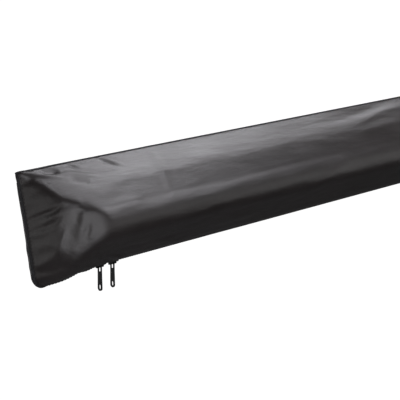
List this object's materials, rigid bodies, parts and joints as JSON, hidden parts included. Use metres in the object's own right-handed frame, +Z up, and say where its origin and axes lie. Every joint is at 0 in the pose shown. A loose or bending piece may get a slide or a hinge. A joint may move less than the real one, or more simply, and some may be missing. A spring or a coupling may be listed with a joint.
{
  "type": "roll-out awning",
  "caption": "Roll-out caravan awning packed in a long zipped cloth bag with a keder edge; the roll, legs and rafters slide and swing out of the bag.",
  "frame": {"origin": "middle of the keder bead's axis", "axes": "X along the awning with the pictured end at -X, -Y away from the caravan wall, Z up"},
  "size_m": [2.6, 0.1119, 0.162],
  "materials": {
    "bag_cloth": "satin coated cloth",
    "keder_plastic": "satin",
    "zip_tape": "woven",
    "zip_teeth": "satin",
    "zip_metal": "gloss black",
    "canopy_cloth": "coated cloth",
    "alloy": "anodised",
    "steel": "zinc plated",
    "black_plastic": "moulded",
    "white_plastic": "moulded",
    "rubber": "moulded"
  },
  "bodies": {
    "bag_back": {"keder": "keder_plastic", "bag_back_panel": "bag_cloth", "zip_tape_back": "zip_tape", "zip_teeth_back": "zip_teeth", "zip_stops": "zip_metal", "canopy_lead": "canopy_cloth", "rafter_hanger_left": "alloy", "rafter_hanger_right": "alloy", "hanger_rivets": "steel", "rafter_pin_left": "steel", "rafter_pin_right": "steel"},
    "bag_front": {"bag_front_panel": "bag_cloth", "zip_tape_front": "zip_tape", "zip_teeth_front": "zip_teeth"},
    "front_frame": {"end_bracket_left": "alloy", "end_bracket_right": "alloy", "roller_axle_left": "steel", "roller_axle_right": "steel", "leg_pin_left": "steel", "leg_pin_right": "steel", "rafter_peg_left": "steel", "rafter_peg_right": "steel"},
    "roller": {"roller_tube": "alloy", "cloth_roll": "canopy_cloth", "anchor_cord": "white_plastic", "end_plug_left": "black_plastic", "end_plug_right": "black_plastic", "roller_bush_left": "white_plastic", "roller_bush_right": "white_plastic"},
    "zip_slider_left": {"zip_slider_left": "zip_metal"},
    "zip_pull_left": {"zip_pull_left": "zip_metal"},
    "zip_slider_right": {"zip_slider_right": "zip_metal"},
    "zip_pull_right": {"zip_pull_right": "zip_metal"},
    "leg_left": {"leg_tube_left": "alloy", "leg_knuckle_left": "black_plastic"},
    "leg_inner_left": {"leg_inner_left": "alloy", "leg_guide_left": "black_plastic", "leg_foot_left": "rubber"},
    "leg_collar_left": {"leg_collar_left": "black_plastic"},
    "rafter_left": {"rafter_tube_left": "alloy", "rafter_knuckle_left": "black_plastic"},
    "rafter_inner_left": {"rafter_inner_left": "alloy", "rafter_guide_left": "black_plastic", "rafter_hook_left": "black_plastic"},
    "rafter_collar_left": {"rafter_collar_left": "black_plastic"},
    "leg_right": {"leg_tube_right": "alloy", "leg_knuckle_right": "black_plastic"},
    "leg_inner_right": {"leg_inner_right": "alloy", "leg_guide_right": "black_plastic", "leg_foot_right": "rubber"},
    "leg_collar_right": {"leg_collar_right": "black_plastic"},
    "rafter_right": {"rafter_tube_right": "alloy", "rafter_knuckle_right": "black_plastic"},
    "rafter_inner_right": {"rafter_inner_right": "alloy", "rafter_guide_right": "black_plastic", "rafter_hook_right": "black_plastic"},
    "rafter_collar_right": {"rafter_collar_right": "black_plastic"}
  },
  "joints": [
    {"name": "roll_out", "type": "slide", "parent": "bag_back", "child": "front_frame", "axis": [0, -0.9903, -0.1392], "range_m": [0, 1.95], "deforming": ["canopy_lead", "bag_front_panel", "zip_tape_front", "zip_teeth_front"]},
    {"name": "roller_spin", "type": "hinge", "parent": "front_frame", "child": "roller", "pos_m": [0, -0.05, -0.054], "axis": [-1, 0, 0], "range_deg": [0, 3900]},
    {"name": "flap_lift", "type": "hinge", "parent": "bag_back", "child": "bag_front", "pos_m": [0, -0.0012, -0.0085], "axis": [-1, 0, 0], "range_deg": [0, 64]},
    {"name": "zip_run_left", "type": "slide", "parent": "bag_back", "child": "zip_slider_left", "axis": [-1, 0, 0], "range_m": [0, 0.019]},
    {"name": "zip_pull_swing_left", "type": "hinge", "parent": "zip_slider_left", "child": "zip_pull_left", "pos_m": [-1.208, -0.046, -0.12455], "axis": [0, 1, 0], "range_deg": [-15, 85]},
    {"name": "zip_run_right", "type": "slide", "parent": "bag_back", "child": "zip_slider_right", "axis": [1, 0, 0], "range_m": [0, 2.413]},
    {"name": "zip_pull_swing_right", "type": "hinge", "parent": "zip_slider_right", "child": "zip_pull_right", "pos_m": [-1.186, -0.046, -0.12455], "axis": [0, -1, 0], "range_deg": [-15, 85]},
    {"name": "leg_swing_left", "type": "hinge", "parent": "front_frame", "child": "leg_left", "pos_m": [-1.241, -0.094, -0.05], "axis": [0, 1, 0], "range_deg": [0, 90]},
    {"name": "leg_extend_left", "type": "slide", "parent": "leg_left", "child": "leg_inner_left", "axis": [1, 0, 0], "range_m": [0, 0.92]},
    {"name": "leg_collar_twist_left", "type": "hinge", "parent": "leg_left", "child": "leg_collar_left", "pos_m": [-1.241, -0.094, -0.05], "axis": [1, 0, 0], "range_deg": [0, 90]},
    {"name": "rafter_swing_left", "type": "hinge", "parent": "bag_back", "child": "rafter_left", "pos_m": [-1.241, -0.014, -0.1], "axis": [0, 0.1392, -0.9903], "range_deg": [0, 90]},
    {"name": "rafter_extend_left", "type": "slide", "parent": "rafter_left", "child": "rafter_inner_left", "axis": [1, 0, 0], "range_m": [0, 0.895]},
    {"name": "rafter_collar_twist_left", "type": "hinge", "parent": "rafter_left", "child": "rafter_collar_left", "pos_m": [-1.241, -0.014, -0.1], "axis": [1, 0, 0], "range_deg": [0, 90]},
    {"name": "leg_swing_right", "type": "hinge", "parent": "front_frame", "child": "leg_right", "pos_m": [1.241, -0.094, -0.05], "axis": [0, -1, 0], "range_deg": [0, 90]},
    {"name": "leg_extend_right", "type": "slide", "parent": "leg_right", "child": "leg_inner_right", "axis": [-1, 0, 0], "range_m": [0, 0.92]},
    {"name": "leg_collar_twist_right", "type": "hinge", "parent": "leg_right", "child": "leg_collar_right", "pos_m": [1.241, -0.094, -0.05], "axis": [-1, 0, 0], "range_deg": [0, 90]},
    {"name": "rafter_swing_right", "type": "hinge", "parent": "bag_back", "child": "rafter_right", "pos_m": [1.241, -0.014, -0.1], "axis": [0, -0.1392, 0.9903], "range_deg": [0, 90]},
    {"name": "rafter_extend_right", "type": "slide", "parent": "rafter_right", "child": "rafter_inner_right", "axis": [-1, 0, 0], "range_m": [0, 0.895]},
    {"name": "rafter_collar_twist_right", "type": "hinge", "parent": "rafter_right", "child": "rafter_collar_right", "pos_m": [1.241, -0.014, -0.1], "axis": [-1, 0, 0], "range_deg": [0, 90]}
  ],
  "couplings": [
    {"joint": "roller_spin", "follows": "roll_out", "rad_per_m": 34.907},
    {"joint": "flap_lift", "follows": "roll_out", "rad_per_m": 0.57283},
    {"joint": "zip_run_left", "follows": "roll_out", "ratio": 0.0097436},
    {"joint": "zip_run_right", "follows": "roll_out", "ratio": 1.2374},
    {"joint": "leg_swing_left", "follows": "roll_out", "rad_per_m": 0.80554},
    {"joint": "leg_extend_left", "follows": "roll_out", "ratio": 0.47179},
    {"joint": "rafter_swing_left", "follows": "roll_out", "rad_per_m": 0.80554},
    {"joint": "rafter_extend_left", "follows": "roll_out", "ratio": 0.45897},
    {"joint": "leg_swing_right", "follows": "roll_out", "rad_per_m": 0.80554},
    {"joint": "leg_extend_right", "follows": "roll_out", "ratio": 0.47179},
    {"joint": "rafter_swing_right", "follows": "roll_out", "rad_per_m": 0.80554},
    {"joint": "rafter_extend_right", "follows": "roll_out", "ratio": 0.45897}
  ]
}
